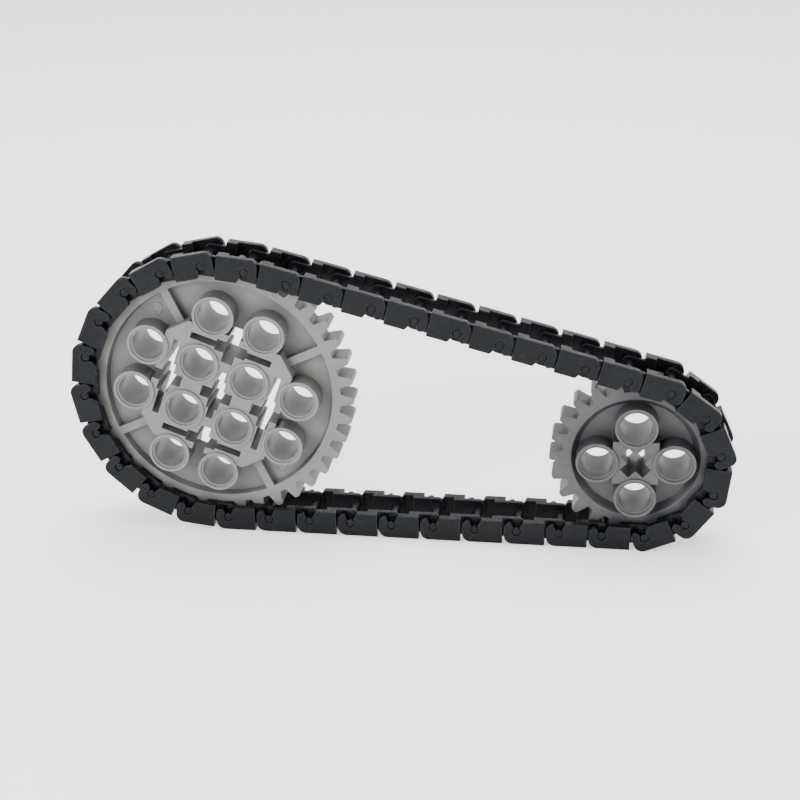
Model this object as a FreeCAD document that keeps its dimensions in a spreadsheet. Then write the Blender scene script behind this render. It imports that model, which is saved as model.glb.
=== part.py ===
import FreeCAD, Part
import math
import os

import Sketcher
from FreeCAD import Placement, Rotation, Vector

# A snap-together link chain running round a large and a small gear.  Millimetres, +Z up.  The gear axes
# run along Y, the lower strand lies along X with the outer edges of its side plates on z = 0, and the
# origin is under the middle of the whole drive.

DRIVING_SIZES = {
    # chain layout
    "pitch": 6.4,                 # pin to pin
    "teeth_per_link": 2,
    "large_teeth": 40,
    "small_teeth": 24,
    "strand_links": 10,           # straight links between the gears, above and below
    "large_wrap_links": 11,       # links seated on the large gear
    "small_wrap_links": 5,        # links seated on the small gear
    "first_pin_angle": 2.2,       # the first seated pin, in degrees past the large gear's lowest point
    "large_grid_angle": -20.0,    # about where the hole grids point; the teeth settle it exactly
    "small_grid_angle": 0.0,
    # chain link
    "chain_width": 8.4,           # over the two side plates
    "plate_thickness": 1.1,
    "side_gap": 0.1,              # between a plate and the neighbour's tongue, each side
    "tongue_thickness": 0.75,
    "end_gap": 0.25,              # between one plate's head and the next plate's tail
    "head_reach": 1.9,            # pin to the plate's leading end
    "outer_edge": 2.05,           # pin line to the plate edge away from the gears
    "tail_edge": 1.7,             # pin line to the tail's edge towards the gears
    "head_edge": 1.35,            # pin line to the head's edge towards the gears
    "head_outer_radius": 1.3,
    "head_inner_radius": 0.8,
    "tail_step": 1.05,            # pin to where the tail's higher edge starts
    "tongue_root": 2.6,           # pin to where the tail's side wall becomes two layers thick
    "tongue_tip": 1.05,           # rod centre to the tongue's rounded end
    "tongue_tip_radius": 0.9,
    "tongue_outer_edge": 1.45,    # pin line to the tongue's edge away from the gears
    "rod_diameter": 1.5,
    "stub_diameter": 1.2,
    "stub_recess": 0.12,          # from the plate's outer face down to the end of the stub
    "pin_clearance": 0.08,        # radial, stub in keyhole
    "throat_width": 1.0,          # narrow way in to the keyhole, under the stub's diameter
    "mouth_width": 1.7,
    "mouth_depth": 0.55,
    # gears
    "gear_module": 1.0,
    "addendum": 0.8,
    "dedendum": 1.25,
    "tooth_tip_width": 1.0,
    "tooth_root_width": 1.95,
    "tooth_tip_radius": 0.38,
    "face_width": 4.0,
    "web_thickness": 1.5,
    "rim_depth": 1.25,            # root circle to the rim's inner edge on the face
    "large_rim_slope": 0.25,      # how far the rim's inner wall leans in by the time it meets the web
    "small_rim_slope": 0.9,
    "hole_grid": 8.0,
    "pin_hole_diameter": 4.8,
    "seat_diameter": 5.5,         # shallow wider seat at both ends of a pin hole
    "seat_depth": 0.3,
    "tube_diameter": 6.3,
    "tube_length": 8.0,
    "hub_thickness": 7.4,
    "hub_flat": 10.0,             # centre to the hub plate's four flats between the outer tubes
    "hub_corner": 12.2,           # centre to the hub plate's four diagonal edges
    "rib_width": 1.3,
    "cross_span": 4.8,            # axle hole, tip to tip
    "cross_arm": 1.8,
    "slot_width": 1.0,
    "outer_slot_length": 12.7,
    "centre_slot_length": 8.0,
    "small_block_width": 6.8,
    "mark_diameter": 1.9,
    "mark_line": 0.3,
    "mark_height": 0.12,
    "mark_radius": 15.5,          # gear centre to the moulding mark
    "mark_angle": -34.5,          # degrees from the hole grid
}

doc = FreeCAD.newDocument("ChainDrive")
sheet = doc.addObject("Spreadsheet::Sheet", "Sizes")


class Size(float):
    """A number that also carries the spreadsheet expression it was worked out from."""

    def __new__(cls, value, text):
        made = super().__new__(cls, value)
        made.text = text
        return made

    def __add__(self, other):
        return Size(float(self) + other, f"({self.text} + {text_of(other)})")

    def __sub__(self, other):
        return Size(float(self) - other, f"({self.text} - {text_of(other)})")

    def __mul__(self, other):
        return Size(float(self) * other, f"({self.text} * {text_of(other)})")

    def __truediv__(self, other):
        return Size(float(self) / other, f"({self.text} / {text_of(other)})")

    def __neg__(self):
        return Size(-float(self), f"(-{self.text})")


def text_of(number):
    return number.text if isinstance(number, Size) else repr(float(number))


def fill_sheet():
    """Write each driving size into its own cell and hand back the sizes by name."""
    sizes = {}
    for row, (name, value) in enumerate(DRIVING_SIZES.items(), start=1):
        sheet.set(f"A{row}", name.replace("_", " "))
        sheet.set(f"B{row}", str(value))
        sheet.setAlias(f"B{row}", name)
        sizes[name] = Size(value, f"Sizes.{name}")
    doc.recompute()
    return sizes


S = fill_sheet()

# ---------------------------------------------------------------- sizes that several pieces share

plate_inner = S["chain_width"] / 2 - S["plate_thickness"]          # |y| of a plate's inner face
tongue_outer = plate_inner - S["side_gap"]                         # |y| of a tongue's outer face
tongue_inner = tongue_outer - S["tongue_thickness"]                # |y| of a tongue's inner face
tail_reach = S["pitch"] - S["head_reach"] - S["end_gap"]           # pin to the plate's square tail
keyhole_radius = S["stub_diameter"] / 2 + S["pin_clearance"]
stub_length = S["chain_width"] - S["stub_recess"] * 2


# ---------------------------------------------------------------- sketch helpers

def new_sketch(body, name, plane="XZ_Plane", offset=0.0):
    """A sketch on one of the body's own origin planes, moved along the plane's normal by offset."""
    sketch = body.newObject("Sketcher::SketchObject", name)
    support = next(f for f in body.Origin.OriginFeatures if f.Role == plane)
    sketch.AttachmentSupport = (support, [""])
    sketch.MapMode = "FlatFace"
    if isinstance(offset, Size):
        sketch.setExpression("AttachmentOffset.Base.z", offset.text)
    return sketch


def set_value(sketch, kind, *where):
    """Add a driving dimension whose value is a Size or a plain number."""
    *place, value = where
    index = sketch.addConstraint(Sketcher.Constraint(kind, *place, float(value)))
    if isinstance(value, Size):
        sketch.setExpression(f"Constraints[{index}]", value.text)


def place_point(sketch, geometry, end, x, y):
    """Hold one point of the sketch at x, y from the sketch's origin."""
    for kind, value, axis in (("DistanceX", x, -2), ("DistanceY", y, -1)):
        if float(value) == 0.0:
            sketch.addConstraint(Sketcher.Constraint("PointOnObject", geometry, end, axis))
        else:
            set_value(sketch, kind, -1, 1, geometry, end, value)


def add_circle(sketch, x, y, radius):
    circle = sketch.addGeometry(Part.Circle(Vector(x, y, 0), Vector(0, 0, 1), float(radius)))
    place_point(sketch, circle, 3, x, y)
    set_value(sketch, "Radius", circle, radius)


def add_outline(sketch, corners):
    """A closed outline through corners (x, y) or (x, y, radius), listed anticlockwise.

    A rounded corner keeps its sharp corner as a construction point, which the two lines beside it
    run through, and gets an arc tangent to both.
    """
    count = len(corners)
    sharp = [Vector(float(c[0]), float(c[1]), 0) for c in corners]
    starts, ends, arcs = [], [], []
    for i, corner in enumerate(corners):
        radius = float(corner[2]) if len(corner) > 2 else 0.0
        to_last = (sharp[i - 1] - sharp[i]).normalize()
        to_next = (sharp[(i + 1) % count] - sharp[i]).normalize()
        half = to_last.getAngle(to_next) / 2
        run = radius / math.tan(half)
        ends.append(sharp[i] + to_last * run)
        starts.append(sharp[i] + to_next * run)
        middle = sharp[i] + (to_last + to_next).normalize() * (radius / math.sin(half))
        arcs.append((radius, middle))
    lines = [
        sketch.addGeometry(Part.LineSegment(starts[i], ends[(i + 1) % count])) for i in range(count)
    ]
    for i, corner in enumerate(corners):
        before, after = lines[i - 1], lines[i]
        radius, middle = arcs[i]
        if not radius:
            sketch.addConstraint(Sketcher.Constraint("Coincident", before, 2, after, 1))
            place_point(sketch, after, 1, corner[0], corner[1])
            continue
        point = sketch.addGeometry(Part.Point(sharp[i]), True)
        place_point(sketch, point, 1, corner[0], corner[1])
        sketch.addConstraint(Sketcher.Constraint("PointOnObject", point, 1, before))
        sketch.addConstraint(Sketcher.Constraint("PointOnObject", point, 1, after))
        first, last = ends[i] - middle, starts[i] - middle
        left_turn = first.cross(last).z > 0
        low, high = (first, last) if left_turn else (last, first)
        circle = Part.Circle(middle, Vector(0, 0, 1), radius)
        span = [math.atan2(v.y, v.x) for v in (low, high)]
        arc = sketch.addGeometry(Part.ArcOfCircle(circle, span[0], span[1]))
        set_value(sketch, "Radius", arc, corner[2])
        sketch.addConstraint(Sketcher.Constraint("Tangent", before, 2, arc, 1 if left_turn else 2))
        sketch.addConstraint(Sketcher.Constraint("Tangent", arc, 2 if left_turn else 1, after, 1))


def add_rectangle(sketch, x, y, width, height):
    """A rectangle centred on x, y."""
    right, top = width / 2 + x, height / 2 + y
    left, bottom = right - width, top - height
    add_outline(sketch, [(left, bottom), (right, bottom), (right, top), (left, top)])


# ---------------------------------------------------------------- feature helpers

def extrude(body, kind, name, sketch, length):
    """A Pad or Pocket of the sketch, half its length to each side of the sketch plane."""
    feature = body.newObject(f"PartDesign::{kind}", name)
    feature.Profile = sketch
    feature.SideType = "Symmetric"
    feature.setExpression("Length", length.text)
    sketch.Visibility = False
    return feature


def pattern(body, name, feature, count):
    """Repeat a feature round the body's Y axis."""
    polar = body.newObject("PartDesign::PolarPattern", name)
    polar.Originals = [feature]
    polar.Axis = (next(f for f in body.Origin.OriginFeatures if f.Role == "Y_Axis"), [""])
    polar.Angle = 360
    polar.Occurrences = int(count)
    if isinstance(count, Size):
        polar.setExpression("Occurrences", count.text)
    body.Tip = polar
    return polar


def new_body(name):
    body = doc.addObject("PartDesign::Body", name)
    body.Label = name
    return body


# ---------------------------------------------------------------- chain link

def make_link(name):
    """One link: X runs with the chain, Z points to the gears, and the origin is its keyhole's centre."""
    body = new_body(name)
    rod_at = -S["pitch"]

    sketch = new_sketch(body, "PlateOutline")
    add_outline(sketch, [
        (-tail_reach, -S["outer_edge"]),
        (S["head_reach"], -S["outer_edge"], S["head_outer_radius"]),
        (S["head_reach"], S["head_edge"], S["head_inner_radius"]),
        (-S["mouth_width"] / 2, S["head_edge"]),
        (-S["tail_step"], S["tail_edge"]),
        (-tail_reach, S["tail_edge"]),
    ])
    extrude(body, "Pad", "Plates", sketch, S["chain_width"])

    sketch = new_sketch(body, "TongueOutline")
    tip = rod_at - S["tongue_tip"]
    add_outline(sketch, [
        (tip, -S["tongue_outer_edge"], S["tongue_tip_radius"]),
        (-S["tongue_root"], -S["tongue_outer_edge"]),
        (-S["tongue_root"], S["tail_edge"]),
        (tip, S["tail_edge"], S["tongue_tip_radius"]),
    ])
    extrude(body, "Pad", "Tongues", sketch, tongue_outer * 2)

    # the channel that the gear teeth run in, and the wider one that takes the neighbour's tongues
    sketch = new_sketch(body, "ToothChannelOutline")
    add_rectangle(sketch, rod_at / 2, 0, S["pitch"] * 3, S["outer_edge"] * 4)
    extrude(body, "Pocket", "ToothChannel", sketch, tongue_inner * 2)
    sketch = new_sketch(body, "TongueChannelOutline")
    add_rectangle(sketch, S["pitch"] - S["tongue_root"], 0, S["pitch"] * 2, S["outer_edge"] * 4)
    extrude(body, "Pocket", "TongueChannel", sketch, plate_inner * 2)

    # the keyhole: a round seat for the neighbour's stub, a narrow throat and a flared mouth
    sketch = new_sketch(body, "KeyholeSeat")
    add_circle(sketch, 0, 0, keyhole_radius)
    extrude(body, "Pocket", "Keyhole", sketch, S["chain_width"] * 2)
    sketch = new_sketch(body, "KeyholeThroat")
    half_throat, half_mouth = S["throat_width"] / 2, S["mouth_width"] / 2
    mouth_start = S["head_edge"] - S["mouth_depth"]
    add_outline(sketch, [
        (-half_throat, 0),
        (half_throat, 0),
        (half_throat, mouth_start),
        (half_mouth, S["head_edge"]),
        (half_mouth, S["tail_edge"] * 2),
        (-half_mouth, S["tail_edge"] * 2),
        (-half_mouth, S["head_edge"]),
        (-half_throat, mouth_start),
    ])
    extrude(body, "Pocket", "Throat", sketch, S["chain_width"] * 2)

    # the cross rod that the gear pushes on, with a stub at each end for the neighbour's keyholes
    sketch = new_sketch(body, "RodCircle")
    add_circle(sketch, rod_at, 0, S["rod_diameter"] / 2)
    extrude(body, "Pad", "Rod", sketch, tongue_inner * 2 + S["tongue_thickness"])
    sketch = new_sketch(body, "StubCircle")
    add_circle(sketch, rod_at, 0, S["stub_diameter"] / 2)
    extrude(body, "Pad", "Stubs", sketch, stub_length)
    return body


# ---------------------------------------------------------------- gears

def start_gear(name, teeth, rim_slope):
    """Web, rim and teeth of a spur gear whose axis is Y, with a tooth centred on +X."""
    body = new_body(name)
    pitch_radius = teeth * S["gear_module"] / 2
    root = pitch_radius - S["dedendum"]
    tip = pitch_radius + S["addendum"]
    rim = root - S["rim_depth"]
    half_face, half_web = S["face_width"] / 2, S["web_thickness"] / 2

    sketch = new_sketch(body, "WebCircle")
    add_circle(sketch, 0, 0, rim)
    extrude(body, "Pad", "Web", sketch, S["web_thickness"])

    sketch = new_sketch(body, "RimSection", "XY_Plane")
    add_outline(sketch, [
        (rim - rim_slope, -half_web),
        (rim, -half_face),
        (root, -half_face),
        (root, half_face),
        (rim, half_face),
        (rim - rim_slope, half_web),
    ])
    ring = body.newObject("PartDesign::Revolution", "Rim")
    ring.Profile = sketch
    ring.ReferenceAxis = (sketch, ["V_Axis"])
    ring.Angle = 360
    sketch.Visibility = False

    sketch = new_sketch(body, "ToothOutline")
    half_root, half_tip = S["tooth_root_width"] / 2, S["tooth_tip_width"] / 2
    add_outline(sketch, [
        (rim + S["rim_depth"] / 2, -half_root),
        (root, -half_root),
        (tip, -half_tip, S["tooth_tip_radius"]),
        (tip, half_tip, S["tooth_tip_radius"]),
        (root, half_root),
        (rim + S["rim_depth"] / 2, half_root),
    ])
    tooth = extrude(body, "Pad", "Tooth", sketch, S["face_width"])
    doc.recompute()
    pattern(body, "Teeth", tooth, teeth)
    return body, rim


def add_circles(body, name, kind, centres, radius, length):
    """Pad or pocket one circle at each centre, through the middle plane."""
    sketch = new_sketch(body, f"{name}Circles")
    for x, y in centres:
        add_circle(sketch, x, y, radius)
    extrude(body, kind, name, sketch, length)


def add_tubes(body, centres):
    """Pin tubes, bored through, with a shallow seat at both ends."""
    add_circles(body, "Tubes", "Pad", centres, S["tube_diameter"] / 2, S["tube_length"])
    add_circles(body, "Bores", "Pocket", centres, S["pin_hole_diameter"] / 2, S["tube_length"] * 2)
    for side, sign in (("Front", 1), ("Back", -1)):
        # each seat is cut from a plane in the air beside the tube, as deep past its end as the seat
        sketch = new_sketch(body, f"{side}SeatCircles", offset=S["tube_length"] / 2 * sign)
        for x, y in centres:
            add_circle(sketch, x, y, S["seat_diameter"] / 2)
        extrude(body, "Pocket", f"{side}Seats", sketch, S["seat_depth"] * 2)


def cut_rectangles(body, name, rectangles):
    """Cut rectangles (x, y, width, height) through the whole gear."""
    sketch = new_sketch(body, f"{name}Outline")
    for x, y, width, height in rectangles:
        add_rectangle(sketch, x, y, width, height)
    extrude(body, "Pocket", name, sketch, S["tube_length"] * 2)


def make_large_gear(name):
    body, rim = start_gear(name, S["large_teeth"], S["large_rim_slope"])
    near, far = S["hole_grid"] / 2, S["hole_grid"] * 1.5

    # hub plate: an octagon with four flats on the hole grid and four diagonal edges
    flat = S["hub_flat"]
    turn = S["hub_corner"] * math.sqrt(2) - flat
    sketch = new_sketch(body, "HubOutline")
    add_outline(sketch, [
        (flat, -turn), (flat, turn), (turn, flat), (-turn, flat),
        (-flat, turn), (-flat, -turn), (-turn, -flat), (turn, -flat),
    ])
    extrude(body, "Pad", "Hub", sketch, S["hub_thickness"])

    # ribs from the hub plate's diagonal edges out to the rim
    sketch = new_sketch(body, "RibOutline")
    rib_out, rib_in = rim + S["rim_depth"] / 2, S["hub_corner"] - S["rib_width"]
    add_rectangle(sketch, (rib_out + rib_in) / 2, 0, rib_out - rib_in, S["rib_width"])
    sketch.AttachmentOffset = Placement(Vector(), Rotation(Vector(0, 0, 1), 45))
    rib = extrude(body, "Pad", "Rib", sketch, S["face_width"])
    doc.recompute()
    pattern(body, "Ribs", rib, 4)

    signs = [(1, 1), (-1, 1), (-1, -1), (1, -1)]
    centres = [(near * i, near * j) for i, j in signs]
    centres += [(far * i, near * j) for i, j in signs]
    centres += [(near * i, far * j) for i, j in signs]
    add_tubes(body, centres)

    # axle holes: a cross at the centre and at one grid step each way, with relief slots
    step = S["hole_grid"]
    crosses = [(0, 0), (step, 0), (-step, 0), (0, step), (0, -step)]
    span, arm, slot = S["cross_span"], S["cross_arm"], S["slot_width"]
    cut_rectangles(body, "CrossAcross", [(x, y, span, arm) for x, y in crosses])
    cut_rectangles(body, "CrossAlong", [(x, y, arm, span) for x, y in crosses])
    cut_rectangles(body, "SlotsAlong", [
        (0, 0, slot, S["centre_slot_length"]),
        (step, 0, slot, S["outer_slot_length"]),
        (-step, 0, slot, S["outer_slot_length"]),
    ])
    cut_rectangles(body, "SlotsAcross", [
        (0, step, S["outer_slot_length"], slot),
        (0, -step, S["outer_slot_length"], slot),
    ])

    # two shallow moulding rings on the web, opposite each other
    sketch = new_sketch(body, "MouldMark")
    add_circle(sketch, S["mark_radius"], 0, S["mark_diameter"] / 2)
    add_circle(sketch, S["mark_radius"], 0, S["mark_diameter"] / 2 - S["mark_line"])
    sketch.AttachmentOffset = Placement(Vector(), Rotation(Vector(0, 0, 1), float(S["mark_angle"])))
    mark = extrude(body, "Pad", "Mark", sketch, S["web_thickness"] + S["mark_height"] * 2)
    doc.recompute()
    pattern(body, "Marks", mark, 2)
    return body


def make_small_gear(name):
    body, _ = start_gear(name, S["small_teeth"], S["small_rim_slope"])
    sketch = new_sketch(body, "BlockOutline")
    add_rectangle(sketch, 0, 0, S["small_block_width"], S["small_block_width"])
    extrude(body, "Pad", "Block", sketch, S["hub_thickness"])

    # four pin tubes on the axes, as far out as the corners of the square hole grid
    out = S["hole_grid"] / math.sqrt(2)
    add_tubes(body, [(out, 0), (0, out), (-out, 0), (0, -out)])

    # the axle cross stands at half a right angle to the tubes
    for part_name, turn in (("CrossRising", 45), ("CrossFalling", -45)):
        sketch = new_sketch(body, f"{part_name}Outline")
        add_rectangle(sketch, 0, 0, S["cross_span"], S["cross_arm"])
        sketch.AttachmentOffset = Placement(Vector(), Rotation(Vector(0, 0, 1), turn))
        extrude(body, "Pocket", part_name, sketch, S["tube_length"] * 2)
    return body


# ---------------------------------------------------------------- where the pins and gears are

def heading(degrees):
    """A unit vector in the XZ plane, anticlockwise from +X as seen from the front (-Y)."""
    angle = math.radians(degrees)
    return Vector(math.cos(angle), 0, math.sin(angle))


def angle_of(vector):
    return math.degrees(math.atan2(vector.z, vector.x))


def turn_per_link(teeth):
    return 360 * S["teeth_per_link"] / teeth


def pin_circle(teeth):
    """The radius of the circle through the pins that are seated on a gear."""
    return S["pitch"] / (2 * math.sin(math.radians(turn_per_link(teeth) / 2)))


def gear_turn(seat_angle, teeth, wanted):
    """The turn nearest to wanted that puts a gap between two teeth at seat_angle."""
    tooth_turn = 360 / teeth
    gaps = round((wanted - seat_angle) / tooth_turn - 0.5) + 0.5
    return seat_angle + gaps * tooth_turn


def lay_out():
    """Find the pins, in order along the chain, and the two gear centres, with the first pin line at z = 0.

    The chain runs clockwise seen from the front: along the lower strand to the large gear, up round
    it, along the upper strand and down round the small gear.
    """
    large_turn, small_turn = turn_per_link(S["large_teeth"]), turn_per_link(S["small_teeth"])
    large_radius, small_radius = pin_circle(S["large_teeth"]), pin_circle(S["small_teeth"])
    strand = S["pitch"] * S["strand_links"]
    large_wrap, small_wrap = int(S["large_wrap_links"]), int(S["small_wrap_links"])

    first = -90 + S["first_pin_angle"]
    large_centre = heading(first) * -large_radius
    on_large = [
        large_centre + heading(first - large_turn * i) * large_radius for i in range(large_wrap + 1)
    ]
    enters, leaves = on_large[0], on_large[-1]

    # the last pin of the upper strand is a strand away from the large gear and a wrap's chord away
    # from the lower strand's end
    lower_end = enters + Vector(float(strand), 0, 0)
    chord = 2 * small_radius * math.sin(math.radians(small_turn * small_wrap / 2))
    between = leaves - lower_end
    reach = between.Length
    along = (chord**2 - strand**2 + reach**2) / (2 * reach)
    beside = math.sqrt(chord**2 - along**2)
    towards = Vector(between).normalize()
    aside = Vector(towards.z, 0, -towards.x)
    upper_end = lower_end + towards * along + aside * beside

    middle = (upper_end + lower_end) / 2
    inward = Vector(upper_end.z - lower_end.z, 0, lower_end.x - upper_end.x).normalize()
    depth = small_radius * math.cos(math.radians(small_turn * small_wrap / 2))
    small_centre = middle - inward * depth
    start = angle_of(upper_end - small_centre)
    on_small = [
        small_centre + heading(start - small_turn * i) * small_radius for i in range(small_wrap + 1)
    ]

    def between_ends(begin, end):
        steps = int(S["strand_links"])
        return [begin + (end - begin) * (i / steps) for i in range(1, steps)]

    pins = [lower_end, *between_ends(lower_end, enters), *on_large]
    pins += [*between_ends(leaves, upper_end), *on_small]
    gear_turns = {
        "large_gear": gear_turn(first, S["large_teeth"], S["large_grid_angle"]),
        "small_gear": gear_turn(start, S["small_teeth"], S["small_grid_angle"]),
    }
    return pins[:-1], {"large_gear": large_centre, "small_gear": small_centre}, gear_turns


# ---------------------------------------------------------------- build, place and write

def build():
    """Make every piece, put it in its place and hand back the pieces by name."""
    pins, gear_centres, gear_turns = lay_out()
    pieces = {
        "large_gear": make_large_gear("large_gear"),
        "small_gear": make_small_gear("small_gear"),
    }
    for name, centre in gear_centres.items():
        pieces[name].Placement = Placement(centre, Rotation(Vector(0, -1, 0), gear_turns[name]))
    for number in range(1, len(pins) + 1):
        name = f"chain_link_{number:02d}"
        keyhole, rod = pins[number % len(pins)], pins[number - 1]
        facing = Rotation(Vector(0, -1, 0), angle_of(keyhole - rod) - 180)
        pieces[name] = make_link(name)
        pieces[name].Placement = Placement(keyhole, facing * Rotation(Vector(0, 0, 1), 180))
    doc.recompute()
    centre_on_origin(pieces.values())
    return pieces, pins, gear_turns


def centre_on_origin(bodies):
    """Slide everything so that the origin is under the middle of the drive, level with its lowest point."""
    boxes = [body.Shape.optimalBoundingBox() for body in bodies]
    middle = (min(box.XMin for box in boxes) + max(box.XMax for box in boxes)) / 2
    lowest = min(box.ZMin for box in boxes)
    for body in bodies:
        body.Placement.Base += Vector(-middle, 0, -lowest)
    doc.recompute()


def check(pieces):
    """Stop with a message if anything in the document failed or any piece isn't one sound solid."""
    for item in doc.Objects:
        if {"Invalid", "Error"} & set(item.State):
            raise RuntimeError(f"{item.Name} ({item.Label}) is {item.State}")
    for name, body in pieces.items():
        shape = body.Shape
        if shape.isNull() or not shape.isValid() or len(shape.Solids) != 1:
            raise RuntimeError(f"{name} isn't one valid solid")


def main():
    pieces, pins, gear_turns = build()
    check(pieces)
    os.makedirs("parts", exist_ok=True)
    for name, body in pieces.items():
        body.Shape.exportStep(f"parts/{name}.step")
    for name in ("large_gear", "small_gear", "chain_link_01"):
        print(f"{name}: {pieces[name].Shape.Volume:.2f} mm3")
    first_keyhole = pieces["chain_link_01"].Placement.Base
    shift = first_keyhole - pins[1]
    for number, pin in enumerate(pins):
        print(f"pin {number}: x {pin.x + shift.x:.4f}, z {pin.z + shift.z:.4f}")
    for name in ("large_gear", "small_gear"):
        base = pieces[name].Placement.Base
        print(f"{name} axis: x {base.x:.4f}, z {base.z:.4f}, turn {gear_turns[name]:.3f}")


main()
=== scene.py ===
"""Studio scene: a snap-link chain running round a large and a small toothed wheel."""

import math

import bpy
from mathutils import Euler, Matrix, Vector


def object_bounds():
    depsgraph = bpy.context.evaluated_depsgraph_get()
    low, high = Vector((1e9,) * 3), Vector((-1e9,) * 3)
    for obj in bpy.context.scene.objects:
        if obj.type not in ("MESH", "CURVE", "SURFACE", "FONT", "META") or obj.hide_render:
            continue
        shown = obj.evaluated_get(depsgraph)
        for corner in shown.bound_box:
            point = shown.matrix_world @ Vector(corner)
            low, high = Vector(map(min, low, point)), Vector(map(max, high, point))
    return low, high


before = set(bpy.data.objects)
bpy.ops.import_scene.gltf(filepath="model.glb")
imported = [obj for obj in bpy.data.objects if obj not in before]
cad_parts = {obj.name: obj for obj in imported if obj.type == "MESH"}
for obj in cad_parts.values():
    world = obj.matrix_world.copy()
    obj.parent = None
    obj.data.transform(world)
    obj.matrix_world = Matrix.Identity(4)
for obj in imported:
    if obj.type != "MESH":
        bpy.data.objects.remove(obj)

CAD_BOX = [list(corner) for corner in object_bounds()]
MM = 0.001

# Camera, seen from in front of the drive and a little to its right
CAMERA_TURN = math.radians(8.15)
CAMERA_RISE = math.radians(23.5)
CAMERA_ROLL = math.radians(-0.96)
CAMERA_DISTANCE = 223.1 * MM
AIM_FROM_MIDDLE = Vector((0.1, 0, -1.1)) * MM
LENS_MM = 66.6

# Rounding that moulding leaves on every edge, and which edges and flats count as such
EDGE_ROUNDING = 0.06 * MM
EDGE_ANGLE = math.radians(35)
FLAT_ANGLE = math.radians(0.6)
SAME_POINT = 0.001 * MM

# How far the scuffing and painted edge highlight reach from an edge, how near a neighbour keeps them off,
# and how far the painted shade reaches into hollows
WEAR_AND_HIGHLIGHT_REACH = 0.22 * MM
SHELTER_REACH = 0.6 * MM
PAINTED_SHADE_REACH = 3.5 * MM

# Sizes of the lumps in the plastic's colour, sheen and surface
CLOUD_SIZE = 5 * MM
SPECK_SIZE = 0.35 * MM
RUBBED_SIZE = 1.2 * MM
PATCH_SIZE = 0.9 * MM
SATIN_SIZE = 2.5 * MM
GRAIN_SIZE = 0.08 * MM
WAVE_SIZE = 3 * MM
GRAIN_HEIGHT = 0.03 * MM
PLASTIC_IOR = 1.53

# Studio floor, round, with a curved foot to its wall
FLOOR_RADIUS = 1.0
FLOOR_SIDES = 96
COVE = 0.5
COVE_STEPS = 12
WALL_HEIGHT = 1.2
FLOOR_GLOW = 0.7
ROOM_LIGHT = 0.35


# ---------------------------------------------------------------- materials

class Nodes:
    """Short names for adding and joining the nodes of one material."""

    def __init__(self, name):
        self.material = bpy.data.materials.new(name)
        self.material.use_nodes = True
        self.tree = self.material.node_tree
        self.shader = self.tree.nodes["Principled BSDF"]
        self.place = self.add("ShaderNodeTexCoord").outputs["Object"]

    def add(self, kind, inputs=None, **settings):
        node = self.tree.nodes.new(kind)
        for key, value in settings.items():
            setattr(node, key, value)
        for key, value in (inputs or {}).items():
            self.feed(node.inputs[key], value)
        return node

    def feed(self, socket, value):
        if isinstance(value, bpy.types.NodeSocket):
            self.tree.links.new(value, socket)
        else:
            socket.default_value = value

    def noise(self, size, detail=3.0, stretch=None):
        """Cloudy values from 0 to 1 with lumps of about this size in metres."""
        place = self.place
        if stretch:
            place = self.add("ShaderNodeMapping", {"Vector": place, "Scale": stretch}).outputs[0]
        return self.add("ShaderNodeTexNoise", {
            "Vector": place, "Scale": 1 / size, "Detail": detail, "Roughness": 0.55,
        }).outputs["Fac"]

    def remap(self, value, low, high, to_low=0.0, to_high=1.0):
        return self.add("ShaderNodeMapRange", {
            "Value": value, "From Min": low, "From Max": high, "To Min": to_low, "To Max": to_high,
        }).outputs["Result"]

    def math(self, operation, first, second):
        return self.add("ShaderNodeMath", {0: first, 1: second}, operation=operation).outputs[0]

    def mix(self, factor, first, second):
        node = self.add("ShaderNodeMix", data_type="RGBA")
        for socket, value in ((node.inputs[0], factor), (node.inputs[6], first), (node.inputs[7], second)):
            self.feed(socket, value)
        return node.outputs[2]


def rgb(red, green, blue):
    return (red, green, blue, 1.0)


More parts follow.
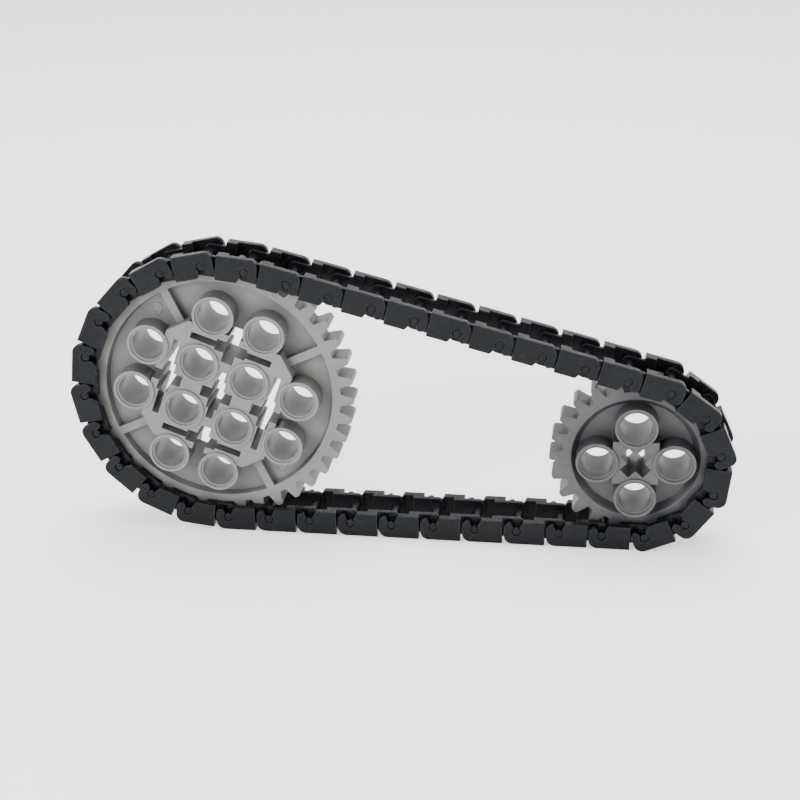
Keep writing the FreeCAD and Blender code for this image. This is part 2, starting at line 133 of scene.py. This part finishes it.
def plastic(name, base, shade, wear_and_highlight_colour, painted_shade_colour, rough, grain, edge_wear_and_highlight, speckle=0.12, specular=0.4):
    """Moulded plastic: clouded colour, satin grain, fine rubbed lines, pale specks, edges scuffed paler that
    also serve as a painted highlight, and painted shade darkening the hollows.
    """
    n = Nodes(name)
    cloud = n.remap(n.noise(CLOUD_SIZE), 0.3, 0.7)
    speck = n.remap(n.noise(SPECK_SIZE, detail=2), 0.35, 0.65)
    rubbed = n.remap(n.noise(RUBBED_SIZE, detail=6, stretch=(1, 1, 9)), 0.55, 0.8)
    colour = n.mix(cloud, base, shade)
    colour = n.mix(n.math("MULTIPLY", speck, speckle), colour, wear_and_highlight_colour)

    rounded = n.add("ShaderNodeBevel", {"Radius": WEAR_AND_HIGHLIGHT_REACH}, samples=6).outputs[0]
    flat = n.add("ShaderNodeNewGeometry").outputs["Normal"]
    facing = n.add("ShaderNodeVectorMath", {0: rounded, 1: flat}, operation="DOT_PRODUCT").outputs["Value"]
    edge = n.remap(facing, 0.995, 0.86)
    open_air = n.add("ShaderNodeAmbientOcclusion", {"Distance": SHELTER_REACH}, samples=6).outputs["AO"]
    # Painted shade: the colour is darkened towards a shade colour where the occlusion finds surfaces close
    # around, as in hollows and recesses
    painted_shade_mask = n.add("ShaderNodeAmbientOcclusion", {"Distance": PAINTED_SHADE_REACH}, samples=8).outputs["AO"]
    colour = n.mix(n.remap(painted_shade_mask, 0.95, 0.35), colour, painted_shade_colour)
    # Edges scuffed paler: partly real scuffing, partly a painted highlight along the edges
    patchy = n.remap(n.noise(PATCH_SIZE, detail=4), 0.35, 0.7, 0.25, 1.0)
    edge_wear_and_highlight_mask = n.math("MULTIPLY", n.math("MULTIPLY", edge, n.remap(open_air, 0.45, 0.85)), patchy)
    colour = n.mix(n.math("MULTIPLY", edge_wear_and_highlight_mask, edge_wear_and_highlight), colour, wear_and_highlight_colour)
    n.feed(n.shader.inputs["Base Color"], colour)

    satin = n.remap(n.noise(SATIN_SIZE, detail=5), 0.3, 0.7, rough - 0.06, rough + 0.06)
    n.feed(n.shader.inputs["Roughness"], n.math("ADD", satin, n.math("MULTIPLY", rubbed, 0.12)))

    fine = n.noise(GRAIN_SIZE, detail=2)
    wavy = n.noise(WAVE_SIZE, detail=1)
    height = n.math("ADD", n.math("MULTIPLY", fine, grain), n.math("MULTIPLY", wavy, 0.5))
    bump = n.add("ShaderNodeBump", {"Strength": 0.35, "Distance": GRAIN_HEIGHT, "Height": height})
    n.feed(n.shader.inputs["Normal"], bump.outputs["Normal"])
    n.shader.inputs["IOR"].default_value = PLASTIC_IOR
    n.shader.inputs["Specular IOR Level"].default_value = specular
    return n.material


# Per plastic: the first two colours cloud together at random; the third tints pale specks and the scuffed
# edges that also serve as a painted highlight; the last colour is painted shade for recesses
PLASTICS = {
    "large_gear": plastic(
        "light_grey_plastic", rgb(0.148, 0.146, 0.140), rgb(0.122, 0.121, 0.118), rgb(0.25, 0.245, 0.235),
        painted_shade_colour=rgb(0.088, 0.086, 0.082), rough=0.40, grain=0.20, edge_wear_and_highlight=0.5),
    "small_gear": plastic(
        "dark_grey_plastic", rgb(0.054, 0.054, 0.052), rgb(0.040, 0.041, 0.043), rgb(0.13, 0.13, 0.126),
        painted_shade_colour=rgb(0.024, 0.026, 0.031), rough=0.42, grain=0.20, edge_wear_and_highlight=0.5),
    "chain_link": plastic(
        "black_plastic", rgb(0.0055, 0.0064, 0.0082), rgb(0.0036, 0.0043, 0.0058), rgb(0.055, 0.062, 0.072),
        painted_shade_colour=rgb(0.0012, 0.0014, 0.0018), rough=0.28, grain=0.02, edge_wear_and_highlight=0.8, speckle=0.02, specular=0.12),
}


# ---------------------------------------------------------------- the drive itself

def finish_edges(piece):
    """Join the faces along their shared edges, then round every sharp one as a mould does."""
    weld = piece.modifiers.new("Join faces", "WELD")
    weld.merge_threshold = SAME_POINT
    plain = piece.modifiers.new("Whole flats", "DECIMATE")
    plain.decimate_type = "DISSOLVE"
    plain.angle_limit = FLAT_ANGLE
    bevel = piece.modifiers.new("Moulded edges", "BEVEL")
    bevel.width = EDGE_ROUNDING
    bevel.segments = 2
    bevel.limit_method = "ANGLE"
    bevel.angle_limit = EDGE_ANGLE
    bevel.use_clamp_overlap = False
    piece.modifiers.new("Even shading", "WEIGHTED_NORMAL")


for name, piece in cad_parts.items():
    kind = name if name in PLASTICS else "chain_link"
    piece.data.materials.clear()
    piece.data.materials.append(PLASTICS[kind])
    finish_edges(piece)


# ---------------------------------------------------------------- floor, light and camera

def make_floor(level):
    """A round pale floor that curves up into a wall on every side."""
    steps = [math.pi / 2 * step / COVE_STEPS for step in range(COVE_STEPS + 1)]
    rings = [(FLOOR_RADIUS + COVE * math.sin(turn), COVE * (1 - math.cos(turn))) for turn in steps]
    rings.append((FLOOR_RADIUS + COVE, WALL_HEIGHT))
    around = [math.tau * side / FLOOR_SIDES for side in range(FLOOR_SIDES)]
    corners = [
        (out * math.cos(turn), out * math.sin(turn), level + up)
        for out, up in rings
        for turn in around
    ]
    faces = [tuple(range(FLOOR_SIDES))]
    for ring in range(len(rings) - 1):
        inner = ring * FLOOR_SIDES
        outer = inner + FLOOR_SIDES
        for side in range(FLOOR_SIDES):
            after = (side + 1) % FLOOR_SIDES
            faces.append((inner + side, outer + side, outer + after, inner + after))
    mesh = bpy.data.meshes.new("floor")
    mesh.from_pydata(corners, [], faces)
    mesh.shade_smooth()
    floor = bpy.data.objects.new("floor", mesh)
    bpy.context.scene.collection.objects.link(floor)
    paint = bpy.data.materials.new("floor_paint")
    paint.use_nodes = True
    shader = paint.node_tree.nodes["Principled BSDF"]
    shader.inputs["Base Color"].default_value = rgb(0.93, 0.93, 0.93)
    shader.inputs["Emission Color"].default_value = rgb(1.0, 1.0, 1.0)
    shader.inputs["Emission Strength"].default_value = FLOOR_GLOW
    shader.inputs["Roughness"].default_value = 0.9
    mesh.materials.append(paint)


def aim(thing, target):
    away = thing.location - target
    thing.rotation_euler = away.to_track_quat("Z", "Y").to_euler()


def soft_light(name, place, size, watts, target, tint=(1.0, 1.0, 1.0)):
    data = bpy.data.lights.new(name, "AREA")
    data.shape = "DISK"
    data.size = size
    data.energy = watts
    data.color = tint
    light = bpy.data.objects.new(name, data)
    bpy.context.scene.collection.objects.link(light)
    light.location = Vector(place)
    aim(light, target)


def make_camera(target):
    data = bpy.data.cameras.new("camera")
    data.lens = LENS_MM
    data.clip_start = 0.01
    camera = bpy.data.objects.new("camera", data)
    bpy.context.scene.collection.objects.link(camera)
    turn = Euler((math.pi / 2 - CAMERA_RISE, 0, CAMERA_TURN)).to_matrix()
    turn = turn @ Matrix.Rotation(CAMERA_ROLL, 3, "Z")
    camera.matrix_world = Matrix.Translation(target + turn.col[2] * CAMERA_DISTANCE) @ turn.to_4x4()
    bpy.context.scene.camera = camera


low, high = (Vector(corner) for corner in CAD_BOX)
middle = (low + high) / 2
make_floor(low.z)
soft_light("key", (-0.40, -0.50, 0.28), 0.35, 4.5, middle)
soft_light("fill", (0.45, -0.45, 0.22), 0.50, 0.6, middle, tint=(0.95, 0.98, 1.0))
soft_light("top", (0.0, 0.12, 0.60), 0.50, 5.0, middle)
make_camera(middle + AIM_FROM_MIDDLE)

world = bpy.data.worlds.new("studio")
world.use_nodes = True
room = world.node_tree.nodes["Background"]
room.inputs["Color"].default_value = rgb(1.0, 1.0, 1.0)
room.inputs["Strength"].default_value = ROOM_LIGHT
bpy.context.scene.world = world
